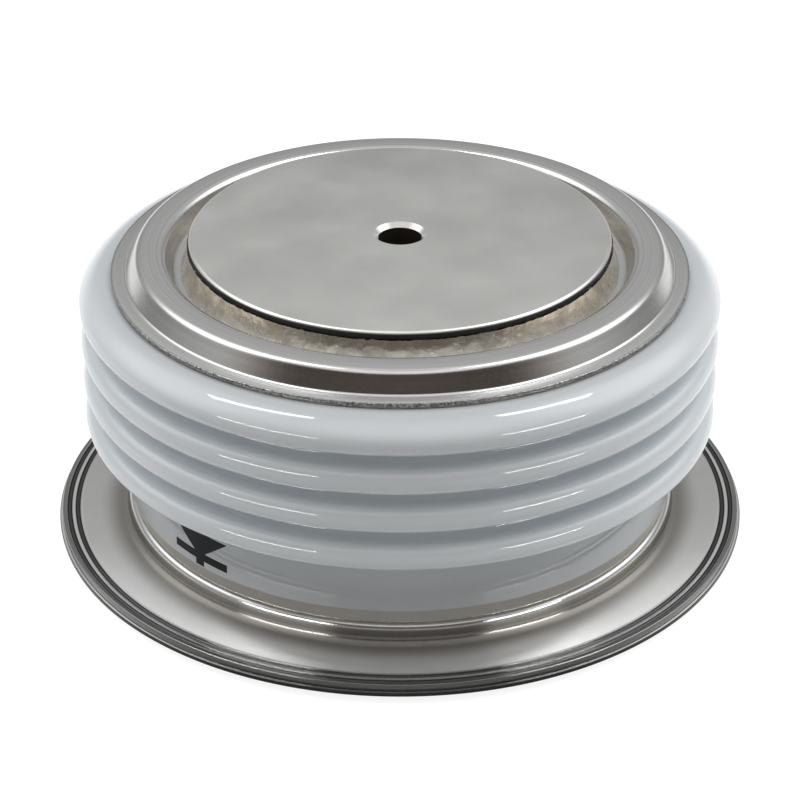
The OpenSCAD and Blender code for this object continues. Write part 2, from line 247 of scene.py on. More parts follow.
class Section:
    """An outline drawn point by point in an XZ plane, then spun round Z or filled."""

    def __init__(self, x, z, y=0.0):
        deselect()
        bpy.ops.mesh.primitive_plane_add(size=MM, location=(x, y, z))
        bpy.ops.object.transform_apply()
        bpy.ops.object.mode_set(mode="EDIT")
        bpy.ops.mesh.merge(type="CENTER")
        self.start = (x, z)
        self.x = x
        self.z = z

    def to(self, x, z):
        """Extrudes the last point in a straight line."""
        if math.hypot(x - self.x, z - self.z) > MERGE:
            step = (x - self.x, 0.0, z - self.z)
            bpy.ops.mesh.extrude_region_move(TRANSFORM_OT_translate={"value": step})
            self.x = x
            self.z = z
        return self

    def arc(self, centre_x, centre_z, degrees, steps=10):
        """Spins the last point round a centre; positive degrees turn counter-clockwise."""
        angle = math.radians(degrees)
        centre = (centre_x, 0.0, centre_z)
        bpy.ops.mesh.spin(steps=steps, angle=angle, center=centre, axis=(0.0, 1.0, 0.0))
        swing = complex(math.cos(angle), math.sin(angle))
        arm = complex(self.x - centre_x, self.z - centre_z) * swing
        self.x = centre_x + arm.real
        self.z = centre_z + arm.imag
        return self

    def corners(self, points, bend, steps=8):
        """Follows points with straight stretches that meet in bends of one radius."""
        path = [Vector((self.x, self.z))] + [Vector(point) for point in points]
        for before, corner, after in zip(path, path[1:], path[2:]):
            arrive = (corner - before).normalized()
            leave = (after - corner).normalized()
            swing = math.atan2(arrive.x * leave.y - arrive.y * leave.x, arrive.dot(leave))
            start = corner - arrive * bend * math.tan(abs(swing) / 2)
            centre = start + Vector((-arrive.y, arrive.x)) * math.copysign(bend, swing)
            self.to(*start)
            self.arc(*centre, math.degrees(swing), steps)
        return self.to(*path[-1])

    def close(self):
        """Draws the last stretch, back to the first point."""
        return self.to(*self.start)

    def merged(self):
        """Selects all and merges the points that coincide."""
        bpy.ops.mesh.select_all(action="SELECT")
        bpy.ops.mesh.remove_doubles(threshold=MERGE)

    def finished(self, name):
        """Makes the faces agree, and returns the named piece in object mode."""
        bpy.ops.mesh.select_all(action="SELECT")
        bpy.ops.mesh.normals_make_consistent(inside=False)
        bpy.ops.object.mode_set(mode="OBJECT")
        piece = bpy.context.object
        piece.name = name
        piece.data.name = name
        return piece

    def spun(self, name, around=AROUND):
        """Spins the outline into a body of revolution and returns it."""
        self.merged()
        bpy.ops.mesh.spin(
            steps=around, angle=math.tau, center=(0.0, 0.0, 0.0), axis=(0.0, 0.0, 1.0)
        )
        self.merged()
        bpy.ops.mesh.dissolve_degenerate(threshold=MERGE)
        return self.finished(name)

    def filled(self, name, span, strips=24):
        """Fills the outline with upright strips, so that it can bend, and returns it."""
        self.merged()
        bpy.ops.mesh.edge_face_add()
        for cut in range(1, strips):
            bpy.ops.mesh.select_all(action="SELECT")
            bpy.ops.mesh.bisect(
                plane_co=(span * (2 * cut / strips - 1), 0.0, 0.0), plane_no=(1.0, 0.0, 0.0)
            )
        return self.finished(name)


def modify(piece, kind, **settings):
    """Adds a modifier to a piece and applies it."""
    modifier = piece.modifiers.new(kind.title(), kind)
    for key, value in settings.items():
        setattr(modifier, key, value)
    bpy.context.view_layer.objects.active = piece
    bpy.ops.object.modifier_apply(modifier=modifier.name)


def soften(piece, width, segments=3, over=60.0):
    """Rounds the edges of a piece that are sharper than an angle."""
    modify(piece, "BEVEL", width=width, segments=segments, limit_method="ANGLE",
           angle_limit=math.radians(over))


def place(piece, material, node=None, smooth=35.0):
    """Shades and finishes a piece and puts it in the place of a node."""
    deselect()
    piece.select_set(True)
    bpy.context.view_layer.objects.active = piece
    bpy.ops.object.shade_smooth_by_angle(angle=math.radians(smooth))
    piece.data.materials.clear()
    piece.data.materials.append(material)
    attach(piece, "root")
    if node:
        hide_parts(node)
    return piece


def ring(name, inner, outer, bottom, top, edge):
    """A flat ring with rounded edges, or a disc where the inner radius is nothing."""
    steps = 3
    if inner:
        section = Section(inner, bottom + edge).arc(inner + edge, bottom + edge, 90, steps)
    else:
        section = Section(0.0, bottom)
    section.to(outer - edge, bottom).arc(outer - edge, bottom + edge, 90, steps)
    section.to(outer, top - edge).arc(outer - edge, top - edge, 90, steps)
    if inner:
        section.to(inner + edge, top).arc(inner + edge, top - edge, 90, steps).close()
    else:
        section.to(0.0, top)
    return section.spun(name)


def shade(tint, factor):
    """A colour made lighter or darker."""
    return tuple(min(1.0, channel * factor) for channel in tint[:3]) + (1.0,)


def grey(level):
    """A neutral colour."""
    return (level, level, level, 1.0)


class Finish:
    """A node material with one Principled shader and short ways to feed it."""

    def __init__(self, name, base, metallic, roughness):
        self.material = bpy.data.materials.new(name)
        self.material.use_nodes = True
        self.nodes = self.material.node_tree.nodes
        self.shader = self.nodes["Principled BSDF"]
        self.place = self.node("TexCoord", "Object")
        self.base = base
        self.relief = None
        self.tint(base)
        self.feed("Metallic", metallic)
        self.feed("Roughness", roughness)

    def put(self, socket, value):
        """Links an input to another socket, or sets it to a plain value."""
        if isinstance(value, bpy.types.NodeSocket):
            self.material.node_tree.links.new(value, socket)
        else:
            socket.default_value = value

    def feed(self, name, value):
        """Feeds a value, colour or socket to the shader."""
        self.put(self.shader.inputs[name], value)

    def node(self, kind, output, inputs=(), **settings):
        """Adds a node with its settings and inputs, and returns one of its outputs."""
        node = self.nodes.new("ShaderNode" + kind)
        for key, value in settings.items():
            setattr(node, key, value)
        for key, value in dict(inputs).items():
            self.put(node.inputs[key], value)
        return node.outputs[output]

    def noise(self, size, detail=3.0, roughness=0.5):
        """Noise with clouds of a size given in millimetres."""
        return self.node("TexNoise", "Fac", {
            "Vector": self.place, "Scale": 1.0 / (size * MM),
            "Detail": detail, "Roughness": roughness,
        })

    def rings(self, size):
        """Noise that runs in circles round Z, in bands of a size given in millimetres."""
        inputs = {"W": self.reach(), "Scale": 1.0 / (size * MM)}
        return self.node("TexNoise", "Fac", inputs, noise_dimensions="1D")

    def spots(self, size):
        """Distance to the nearest of scattered points, in cells of a size in millimetres."""
        inputs = {"Vector": self.place, "Scale": 1.0 / (size * MM)}
        return self.node("TexVoronoi", "Distance", inputs)

    def part(self, axis):
        """One coordinate of the place."""
        return self.node("SeparateXYZ", axis, {0: self.place})

    def reach(self):
        """Distance from the Z axis."""
        inputs = {0: self.place, 1: (1.0, 1.0, 0.0)}
        flat = self.node("VectorMath", 0, inputs, operation="MULTIPLY")
        return self.node("VectorMath", "Value", {0: flat}, operation="LENGTH")

    def math(self, operation, *values):
        """One step of arithmetic on values, each a number or a socket."""
        return self.node("Math", 0, enumerate(values), operation=operation)

    def times(self, first, second):
        """Product of two values."""
        return self.math("MULTIPLY", first, second)

    def plus(self, first, second):
        """Sum of two values."""
        return self.math("ADD", first, second)

    def larger(self, first, second):
        """The larger of two values."""
        return self.math("MAXIMUM", first, second)

    def remap(self, value, low_in, high_in, low_out=0.0, high_out=1.0, kind="LINEAR"):
        """Map of a value, held at its ends."""
        return self.node("MapRange", "Result", {
            "Value": value, "From Min": low_in, "From Max": high_in,
            "To Min": low_out, "To Max": high_out,
        }, interpolation_type=kind)

    def ramp(self, value, base, start, end, kind="LINEAR"):
        """0 to 1 from start to end, both in millimetres past a base."""
        return self.remap(value, base + start * MM, base + end * MM, kind=kind)

    def blend(self, factor, first, second):
        """Mix of two colours, each a value or a socket."""
        return self.node("Mix", 2, {0: factor, 6: first, 7: second}, data_type="RGBA")

    def tint(self, tone):
        """Gives the piece a colour, which later steps change."""
        self.tone = tone
        self.feed("Base Color", tone)

    def mottle(self, factor, dark, light):
        """Lets the colour vary between two shades of the base colour."""
        self.tint(self.blend(factor, shade(self.base, dark), shade(self.base, light)))

    def darken(self, factor, level):
        """Takes the colour to a shade of the base colour where a factor is 1."""
        self.tint(self.blend(factor, self.tone, shade(self.base, level)))

    def bump(self, height, depth):
        """Adds relief of a depth in millimetres to the relief there already."""
        inputs = {"Height": height, "Distance": depth * MM, "Strength": 1.0}
        if self.relief:
            inputs["Normal"] = self.relief
        self.relief = self.node("Bump", "Normal", inputs)
        self.feed("Normal", self.relief)


def glaze_finish(colours, band_top, fillet, rim, head):
    """White glaze: glossy, faintly wavy, with pinholes, and painted shade on the band under the
    ribs and on the head next to the diaphragm.
    """
    finish = Finish("white glaze", colours.glaze, 0.0, 0.035)
    finish.mottle(finish.noise(9.0, 2.0), 0.985, 1.015)
    finish.darken(finish.remap(finish.spots(5.5), 0.03, 0.012), 0.55)
    height = finish.part("Z")
    # Painted shade: the head is painted greyer within a few millimetres of the diaphragm's rim,
    # where the convolution shades it.
    inner = finish.ramp(finish.reach(), rim, 2.6, 0.6, "SMOOTHSTEP")
    finish.darken(finish.times(inner, finish.ramp(height, head, -2.0, -1.0)), 0.66)
    # Painted shade: the smooth band under the ribs is painted greyer, standing in for the shade
    # the ribs above cast on it.
    finish.darken(finish.remap(height, band_top + fillet, band_top), 0.72)
    finish.feed("IOR", 1.52)
    finish.bump(finish.noise(2.6, 1.0), 0.008)
    finish.bump(finish.noise(0.45, 2.0), 0.0012)
    return finish.material


def bare_finish(colours):
    """Unglazed ceramic: matt and fine-grained."""
    finish = Finish("bare alumina", colours.bare, 0.0, 0.62)
    grain = finish.noise(0.22, 4.0, 0.7)
    finish.mottle(grain, 0.85, 1.12)
    finish.bump(grain, 0.02)
    return finish.material


def nickel_finish(colours, pole_r):
    """Satin nickel of the contact faces: cloudy, with fine grain, faint rings, and painted shade
    on the side under the rounded edge.
    """
    finish = Finish("satin nickel", colours.nickel, 1.0, 0.32)
    cloud = finish.remap(finish.noise(5.5, 4.0, 0.55), 0.3, 0.7)
    finish.mottle(cloud, 0.95, 1.05)
    # Painted shade: the side under the contact face's rounded edge is painted near black, standing
    # in for the dark line the edge shows there.
    finish.darken(finish.ramp(finish.reach(), pole_r, -0.06, -0.02), 0.07)
    finish.feed("Roughness", finish.remap(cloud, 0.0, 1.0, 0.28, 0.36))
    finish.bump(finish.noise(0.09, 3.0, 0.6), 0.003)
    finish.bump(finish.rings(0.16), 0.0008)
    return finish.material


def bore_finish(colours):
    """Drilled metal in the centring bores: dull, dark and scored in circles."""
    finish = Finish("drilled bore", colours.bore, 1.0, 0.5)
    finish.mottle(finish.noise(0.8, 4.0, 0.6), 0.7, 1.3)
    finish.bump(finish.rings(0.12), 0.006)
    return finish.material


def sheet_finish(colours, rim):
    """Pressed nickel-plated sheet: forming streaks, and braze specks along its rim."""
    finish = Finish("nickel sheet", colours.sheet, 1.0, 0.22)
    grain = finish.noise(0.14, 3.0, 0.65)
    finish.mottle(finish.noise(4.0, 4.0, 0.6), 0.94, 1.05)
    finish.darken(finish.remap(finish.rings(0.22), 0.65, 0.35), 0.9)
    specks = finish.remap(finish.noise(0.15, 3.0, 0.7), 0.4, 0.6)
    finish.darken(finish.times(specks, finish.ramp(finish.reach(), rim, -0.18, -0.04)), 0.1)
    finish.feed("Roughness", finish.remap(grain, 0.3, 0.7, 0.15, 0.25))
    finish.bump(grain, 0.005)
    finish.bump(finish.rings(0.1), 0.002)
    return finish.material


def flange_finish(colours, collar, rim, outer, grooves):
    """Spun nickel-plated sheet of the weld flange: its circular lay draws highlights into fans;
    painted shade darkens its collar, grooves, rim land and cut edge.
    """
    finish = Finish("spun nickel sheet", colours.flange, 1.0, 0.4)
    reach = finish.reach()
    finish.mottle(finish.noise(3.0, 4.0, 0.6), 0.92, 1.07)
    # Painted shade with a brownish heat-stain tint round the collar, where the ceramic above
    # shades the flange; the collar's top bend is left out.
    clear_of_stain_and_shade = finish.ramp(reach, collar, 0.5, 2.6, "SMOOTHSTEP")
    bend = finish.ramp(reach, collar, 0.0, -0.03)
    finish.tint(finish.blend(finish.larger(clear_of_stain_and_shade, bend), colours.stain_and_shade, finish.tone))
    # Painted shade: the pressed grooves are painted dark, standing in for the shade in them.
    for groove in grooves:
        away = finish.math("ABSOLUTE", finish.plus(reach, -groove))
        finish.darken(finish.ramp(away, 0.0, 0.26, 0.16), 0.1)
    # Painted reflection: the rim land outside the outer groove is painted darker, standing in for
    # the darker surroundings it mirrors.
    land = finish.times(finish.ramp(reach, rim, -0.4, -0.32), finish.ramp(reach, rim, 0.02, 0.01))
    finish.darken(land, 0.34)
    # Painted shade: the outer edge of the lower sheet is painted dark, standing in for the shade
    # in the gap under the upper sheet's rim.
    finish.darken(finish.ramp(reach, outer, -0.07, -0.04), 0.1)
    finish.feed("Tangent", finish.node("Tangent", 0, direction_type="RADIAL", axis="Z"))
    finish.feed("Anisotropic", 0.9)
    finish.feed("Anisotropic Rotation", 0.25)
    past_fillet = finish.ramp(reach, collar, 0.05, 0.25, "SMOOTHSTEP")
    flat = finish.times(past_fillet, finish.ramp(reach, rim, -1.5, -1.9, "SMOOTHSTEP"))
    finish.feed("Roughness", finish.remap(flat, 0.0, 1.0, 0.17, 0.4))
    finish.bump(finish.noise(0.14, 3.0, 0.65), 0.003)
    return finish.material


def braze_finish(colours, top):
    """Braze: a clouded film with dark pits, and a ragged painted shadow line where it ends under
    the pole's edge.
    """
    finish = Finish("braze", colours.braze, 1.0, 0.3)
    cloud = finish.remap(finish.noise(2.4, 6.0, 0.6), 0.35, 0.65)
    finish.mottle(cloud, 0.75, 1.3)
    # Painted shadow: a ragged dark line along the braze's top, where the pole's edge shades it.
    wander = finish.remap(finish.noise(0.5, 3.0), 0.3, 0.7, -0.05 * MM, 0.05 * MM)
    line = finish.ramp(finish.plus(finish.part("Z"), wander), top, -0.06, -0.02)
    finish.darken(finish.larger(finish.remap(finish.spots(0.9), 0.1, 0.04), line), 0.06)
    finish.feed("Roughness", finish.remap(cloud, 0.0, 1.0, 0.36, 0.16))
    finish.bump(finish.noise(0.9, 3.0, 0.5), 0.07)
    finish.bump(finish.noise(0.16, 2.0, 0.6), 0.007)
    return finish.material


def ink_finish(colours):
    """Black printing ink, matt and unevenly laid."""
    finish = Finish("printing ink", colours.ink, 0.0, 0.6)
    finish.mottle(finish.noise(0.25, 3.0, 0.6), 0.6, 1.6)
    finish.feed("Specular IOR Level", 0.3)
    return finish.material


def plain_finish(name, base, metallic, roughness, grain_size, grain_depth):
    """Finish of an inner piece: one colour with a grain of its own."""
    finish = Finish(name, base, metallic, roughness)
    grain = finish.noise(grain_size, 3.0, 0.6)
    finish.mottle(grain, 0.92, 1.08)
    finish.bump(grain, grain_depth)
    return finish.material


class DIODE_OT_ceramic(bpy.types.Operator):
    """Model the ribbed ceramic ring with its glaze and bare foot"""

    bl_idname = "diode.ceramic"
    bl_label = "Ceramic Ring"

    def execute(self, context):
        sizes = context.scene.diode_ceramic
        colours = context.scene.diode_colours
        rib_r = radius("ceramic_ring")
        foot_r = rib_r - sizes.rib_out
        bore_r = foot_r - sizes.wall
        foot_z = low("ceramic_ring")
        head_z = high("ceramic_ring")
        nose = sizes.rib_nose
        nose_x = rib_r - nose
        root = sizes.rib_pitch / 2 - nose
        root_x = foot_r + sizes.root_out + root
        first_z = head_z - sizes.first_rib
        last_z = first_z - (sizes.ribs - 1) * sizes.rib_pitch
        slope = math.sin(sizes.shoulder_angle)
        rise = math.degrees(sizes.shoulder_angle)
        shoulder = (sizes.first_rib - nose * slope) / (1 - slope)
        shoulder_x = nose_x - (shoulder - nose) * math.cos(sizes.shoulder_angle)
        edge = sizes.edge
        band_z = foot_z + sizes.bare_height
        taper = math.degrees(math.atan2(sizes.bare_height, sizes.bare_taper))
        fillet = sizes.under_rib
        under_z = last_z - nose - fillet

        section = Section(bore_r, foot_z + edge).arc(bore_r + edge, foot_z + edge, 90, steps=4)
        section.to(foot_r - sizes.bare_taper - edge, foot_z)
        section.arc(foot_r - sizes.bare_taper - edge, foot_z + edge, taper, steps=4)
        section.to(foot_r - sizes.glaze, band_z)
        section.arc(foot_r - sizes.glaze, band_z + sizes.glaze, 90, steps=4)
        section.to(foot_r, under_z).arc(foot_r + fillet, under_z, -90)
        for rib in range(sizes.ribs - 1):
            rib_z = last_z + rib * sizes.rib_pitch
            section.to(nose_x, rib_z - nose).arc(nose_x, rib_z, 180, steps=28)
            section.to(root_x, rib_z + nose)
            section.arc(root_x, rib_z + sizes.rib_pitch / 2, -180, steps=18)
        section.to(nose_x, first_z - nose).arc(nose_x, first_z, 90 + rise, steps=20)
        section.arc(shoulder_x, head_z - shoulder, 90 - rise, steps=14)
        section.to(bore_r + edge, head_z).arc(bore_r + edge, head_z - edge, 90, steps=4).close()
        piece = section.spun("glazed_ceramic_ring")
        glaze = glaze_finish(colours, under_z, fillet, radius("anode_diaphragm"), head_z)
        place(piece, glaze, "ceramic_ring")
        piece.data.materials.append(bare_finish(colours))
        for face in piece.data.polygons:
            inside = math.hypot(*face.center.xy) < bore_r + edge
            if inside or face.center.z < band_z or face.center.z > head_z - MERGE:
                face.material_index = 1
        return {"FINISHED"}


class DIODE_OT_symbol(bpy.types.Operator):
    """Print the polarity symbol on the band under the ribs"""

    bl_idname = "diode.symbol"
    bl_label = "Polarity Symbol"

    def execute(self, context):
        sizes = context.scene.diode_symbol
        ceramic = context.scene.diode_ceramic
        foot_r = radius("ceramic_ring") - ceramic.rib_out
        half = sizes.half_width
        stub = sizes.stub
        bar_top = sizes.bar_height + sizes.bar
        neck = sizes.apex_height + stub * (sizes.base_height - sizes.apex_height) / half
        side = [
            (stub, sizes.stub_height), (stub, sizes.bar_height), (half, sizes.bar_height),
            (half, bar_top), (stub, bar_top), (stub, neck), (half, sizes.base_height),
        ]
        outline = Section(*side[0], -foot_r)
        for point in side[1:] + [(-x, z) for x, z in reversed(side)]:
            outline.to(*point)
        piece = outline.close().filled("polarity_symbol", half)
        middle = (sizes.base_height + sizes.stub_height) / 2
        piece.rotation_euler = (0.0, sizes.tilt, 0.0)
        piece.location = (math.sin(-sizes.tilt) * middle, 0.0, (1 - math.cos(sizes.tilt)) * middle)
        bpy.ops.object.transform_apply()
        piece.rotation_euler = (0.0, 0.0, sizes.azimuth)
        bpy.ops.object.transform_apply()
        target = bpy.data.objects["glazed_ceramic_ring"]
        modify(piece, "SHRINKWRAP", target=target, wrap_method="NEAREST_SURFACEPOINT",
               wrap_mode="ABOVE_SURFACE", offset=sizes.ink)
        modify(piece, "SOLIDIFY", thickness=sizes.ink, offset=-1.0)
        place(piece, ink_finish(context.scene.diode_colours))
        return {"FINISHED"}


def turned_pole(name, node, sizes, materials, outer, seat):
    """Turns a pole piece from its inner end to its contact face."""
    up = 1.0 if outer > seat else -1.0
    inner = low(node) if up > 0 else high(node)
    shoulder_r = radius(node)
    pole_r = shoulder_r - sizes.pole_shoulder
    inner_r = pole_r - sizes.pole_step
    edge = sizes.contact_edge
    bore = sizes.dowel_radius
    chamfer = sizes.dowel_chamfer
    fillet = sizes.dowel_fillet
    shoulder = seat - up * sizes.pole_shoulder_height
    bottom = outer - up * sizes.dowel_depth
    section = Section(0.0, inner).to(inner_r - sizes.pole_chamfer, inner)
    section.to(inner_r, inner + up * sizes.pole_chamfer).to(inner_r, shoulder)
    section.to(shoulder_r, shoulder).to(shoulder_r, seat).to(pole_r, seat)
    section.to(pole_r, outer - up * edge).arc(pole_r - edge, outer - up * edge, up * 90)
    section.to(bore + chamfer, outer).to(bore, outer - up * chamfer)
    section.to(bore, bottom + up * fillet)
    section.arc(bore - fillet, bottom + up * fillet, -up * 90, steps=5)
    section.to(0.0, bottom)
    piece = place(section.spun(name), materials[0], node)
    piece.data.materials.append(materials[1])
    for face in piece.data.polygons:
        across = math.hypot(*face.center.xy)
        if across < bore + MERGE and up * (outer - face.center.z) > chamfer:
            face.material_index = 1
    return piece


class DIODE_OT_poles(bpy.types.Operator):
    """Model the anode and cathode pole pieces with their centring bores"""

    bl_idname = "diode.poles"
    bl_label = "Pole Pieces"

    def execute(self, context):
        sizes = context.scene.diode_metal
        colours = context.scene.diode_colours
        pole_r = radius("anode_pole") - sizes.pole_shoulder
        materials = (nickel_finish(colours, pole_r), bore_finish(colours))
        turned_pole("turned_anode_pole", "anode_pole", sizes, materials,
                    high("anode_pole"), low("anode_diaphragm"))
        turned_pole("turned_cathode_pole", "cathode_pole", sizes, materials,
                    low("cathode_pole"), high("lower_weld_flange"))
        return {"FINISHED"}


class DIODE_OT_diaphragm(bpy.types.Operator):
    """Model the formed diaphragm between the anode pole piece and the ceramic"""

    bl_idname = "diode.diaphragm"
    bl_label = "Diaphragm"

    def execute(self, context):
        sizes = context.scene.diode_metal
        sheet = sizes.diaphragm
        pole_r = radius("anode_pole") - sizes.pole_shoulder
        outer_r = radius("anode_diaphragm")
        crest = high("anode_diaphragm") - sheet / 2
        rim = crest - sizes.wave_height
        floor = rim - sizes.floor_drop
        foot_r = outer_r - sizes.rim_width
        inner_r = pole_r + sizes.floor_width
        section = Section(outer_r, rim).corners([
            (foot_r, rim), (foot_r - sizes.outer_slope, crest),
            (inner_r + sizes.inner_slope, crest), (inner_r, floor), (pole_r, floor),
        ], sizes.wave_bend + sheet / 2)
        piece = section.spun("formed_diaphragm")
        modify(piece, "SOLIDIFY", thickness=sheet, offset=0.0, use_even_offset=True)
        soften(piece, sizes.sheet_edge)
        material = sheet_finish(context.scene.diode_colours, outer_r)
        place(piece, material, "anode_diaphragm")
        return {"FINISHED"}


class DIODE_OT_flange(bpy.types.Operator):
    """Model the double weld flange with its collar and pressed grooves"""

    bl_idname = "diode.flange"
    bl_label = "Weld Flange"

    def execute(self, context):
        sizes = context.scene.diode_metal
        ceramic = context.scene.diode_ceramic
        sheet = sizes.flange_sheet
        edge = sizes.sheet_edge
        base = low("upper_weld_flange")
        face = base + sheet
        head = high("upper_weld_flange")
        rim_r = radius("upper_weld_flange")
        foot_r = radius("ceramic_ring") - ceramic.rib_out
        collar_r = foot_r + sizes.collar_out
        land_r = foot_r - ceramic.wall + sizes.foot_land
        bend = sizes.collar_bend
        fillet = sizes.collar_fillet
        groove = sizes.groove_radius
        above = groove - sizes.groove_depth
        half = math.sqrt(groove ** 2 - above ** 2)
        start = math.degrees(math.asin(above / groove))
        lift = sizes.rim_rise * half / (sizes.groove_in - sizes.rim_edge)
        rim = rim_r - sizes.rim_edge
        rim_top = face + sizes.rim_rise

        bend_z = head - bend - sheet
        section = Section(land_r, head).to(collar_r - bend - sheet, head)
        section.arc(collar_r - bend - sheet, bend_z, -90, steps=14)
        section.to(collar_r, face + fillet).arc(collar_r + fillet, face + fillet, 90, steps=16)
        outer_groove = rim_r - sizes.groove_in
        inner_groove = outer_groove - sizes.groove_pitch
        for middle, end in ((inner_groove, above), (outer_groove, above - lift)):
            stop = math.degrees(math.asin(end / groove))
            section.to(middle - half, face)
            section.arc(middle, face + above, 180 - start - stop, steps=12)
        section.to(rim, rim_top).arc(rim, rim_top - sizes.rim_edge, -90, steps=5)
        section.to(rim_r, base + sizes.rim_edge).arc(rim, base + sizes.rim_edge, -90, steps=5)
        section.to(collar_r + fillet, base).arc(collar_r + fillet, face + fillet, -90, steps=16)
        section.to(collar_r - sheet, bend_z)
        section.arc(collar_r - sheet - bend, bend_z, 90, steps=4)
        section.to(land_r, head - sheet).close()
        upper = section.spun("grooved_weld_flange")
        soften(upper, 0.5 * edge, segments=2)
        colours = context.scene.diode_colours
        outer_r = radius("lower_weld_flange")
        grooves = (outer_groove, inner_groove)
        material = flange_finish(colours, collar_r, rim_r, outer_r, grooves)
        place(upper, material, "upper_weld_flange")
        pole_r = radius("cathode_pole") - sizes.pole_shoulder
        lower = ring("flat_weld_flange", pole_r, outer_r, low("lower_weld_flange"),
                     high("lower_weld_flange"), edge)
        place(lower, material, "lower_weld_flange")
        return {"FINISHED"}


class DIODE_OT_brazes(bpy.types.Operator):
    """Model the rough braze at the anode and the thin brazes elsewhere"""

    bl_idname = "diode.brazes"
    bl_label = "Brazes"

    def execute(self, context):
        sizes = context.scene.diode_metal
        material = braze_finish(context.scene.diode_colours, high("anode_braze"))
        self.meniscus(sizes, material)
        pole_r = radius("cathode_pole") - sizes.pole_shoulder
        bottom = low("cathode_braze")
        top = high("cathode_braze")
        section = Section(pole_r, bottom).to(radius("cathode_braze"), top).to(pole_r, top).close()
        place(section.spun("cathode_braze_fillet"), material, "cathode_braze")
        wave_foot = radius("anode_diaphragm") - sizes.rim_width
        ceramic = context.scene.diode_ceramic
        land_r = radius("ceramic_ring") - ceramic.rib_out - ceramic.wall + sizes.foot_land
        edge = 0.3 * sizes.meniscus_edge
        for name, node, inner in (
            ("head_braze_line", "head_braze", wave_foot + sizes.wave_bend / 2),
            ("foot_braze_line", "foot_braze", land_r),
        ):
            line = ring(name, inner, radius(node), low(node), high(node), edge)
            place(line, material, node)
        return {"FINISHED"}

    def meniscus(self, sizes, material):
        """The braze that climbs the side of the anode pole piece."""
        pole_r = radius("anode_pole") - sizes.pole_shoulder
        bottom = low("anode_braze")
        top = high("anode_braze")
        thin = sizes.meniscus_edge
        start = Vector((pole_r + sizes.meniscus_width, bottom + thin))
        end = Vector((pole_r + thin, top))
        chord = end - start
        bow = math.degrees(2 * math.asin(chord.length / 2 / sizes.meniscus_radius))
        across = Vector((chord.y, -chord.x)).normalized()
        reach = math.sqrt(sizes.meniscus_radius ** 2 - (chord.length / 2) ** 2)
        centre = (start + end) / 2 + across * reach
        section = Section(pole_r, bottom).to(start.x, bottom).to(*start)
        section.arc(*centre, -bow, steps=18).to(pole_r, top).close()
        piece = section.spun("anode_braze_meniscus", 2 * AROUND)
        free = piece.vertex_groups.new(name="free")
        free.add([
            point.index for point in piece.data.vertices
            if math.hypot(*point.co.xy) > pole_r + thin / 2 and point.co.z > bottom + thin / 2
        ], 1.0, "REPLACE")
        lumps = bpy.data.textures.new("braze lumps", "CLOUDS")
        lumps.noise_scale = 1.1 * MM
        lumps.noise_depth = 2
        modify(piece, "DISPLACE", texture=lumps, texture_coords="LOCAL", strength=0.07 * MM,
               mid_level=0.55, vertex_group="free")
        place(piece, material, "anode_braze", smooth=60.0)


class DIODE_OT_stack(bpy.types.Operator):
    """Model the wafer, its discs, foil, rubber and centring ring inside the bore"""

    bl_idname = "diode.stack"
    bl_label = "Wafer Stack"

    def execute(self, context):
        sizes = context.scene.diode_stack
        colours = context.scene.diode_colours
        moly = plain_finish("ground molybdenum", colours.molybdenum, 1.0, 0.42, 0.12, 0.004)
        silver = plain_finish("silver foil", colours.silver, 1.0, 0.28, 0.3, 0.006)
        silicon = plain_finish("lapped silicon", colours.silicon, 0.6, 0.3, 0.08, 0.002)
        rubber = plain_finish("silicone rubber", colours.rubber, 0.0, 0.5, 0.6, 0.02)
        plastic = plain_finish("white plastic", colours.plastic, 0.0, 0.45, 0.5, 0.01)
        discs = (
            ("carrier_disc", "anode_moly_disc", moly, "molybdenum", sizes.disc_edge),
            ("cathode_disc", "cathode_moly_disc", moly, "molybdenum", sizes.disc_edge),
            ("contact_foil", "silver_foil", silver, "silver", 0.3 * sizes.disc_edge),
        )
        for name, node, material, slot, edge in discs:
            piece = ring(name, 0.0, radius(node), low(node), high(node), edge)
            place(piece, material, node)
        wafer_r = radius("silicon_wafer")
        wafer_low = low("silicon_wafer")
        wafer_top = high("silicon_wafer")
        section = Section(0.0, wafer_low).to(wafer_r - sizes.wafer_bevel, wafer_low)
        section.to(wafer_r, wafer_top).to(0.0, wafer_top)
        place(section.spun("bevelled_wafer"), silicon, "silicon_wafer")
        hang_r = radius("cathode_moly_disc") + sizes.rubber_drop
        rubber_r = radius("edge_passivation")
        rubber_low = low("edge_passivation")
        section = Section(hang_r, wafer_low).to(hang_r, rubber_low)
        section.to(rubber_r - sizes.rubber_drop, rubber_low)
        section.arc(rubber_r - sizes.rubber_drop, wafer_low, 90, steps=8).to(rubber_r, wafer_top)
        section.to(wafer_r, wafer_top).to(wafer_r - sizes.wafer_bevel, wafer_low).close()
        place(section.spun("rim_rubber"), rubber, "edge_passivation")
        self.centring_ring(context, plastic)
        return {"FINISHED"}

    def centring_ring(self, context, plastic):
        """The moulded ring that stands on the cathode pole piece round the stack."""
        sizes = context.scene.diode_stack
        metal = context.scene.diode_metal
        gap = 0.1 * MM
        inner_r = radius("cathode_pole") - metal.pole_shoulder - metal.pole_step + gap
        outer_r = radius("centring_ring")
        seat_r = radius("anode_moly_disc") + gap
        bottom = low("centring_ring")
        seat = low("edge_passivation") - gap
        top = high("centring_ring")
        section = Section(inner_r, bottom).to(inner_r + sizes.skirt, bottom)
        section.to(inner_r + sizes.skirt, seat - sizes.collar).to(outer_r, seat - sizes.collar)
        section.to(outer_r, top).to(seat_r, top).to(seat_r, seat).to(inner_r, seat).close()
        piece = section.spun("moulded_centring_ring")
        soften(piece, sizes.plastic_edge)
        place(piece, plastic, "centring_ring")


def direction(azimuth, elevation):
    """Unit vector to a place in the studio; azimuth 0 is the camera's side, 90 is +X."""
    across = math.radians(azimuth)
    up = math.radians(elevation)
    return Vector((
        math.sin(across) * math.cos(up), -math.cos(across) * math.cos(up), math.sin(up)
    ))


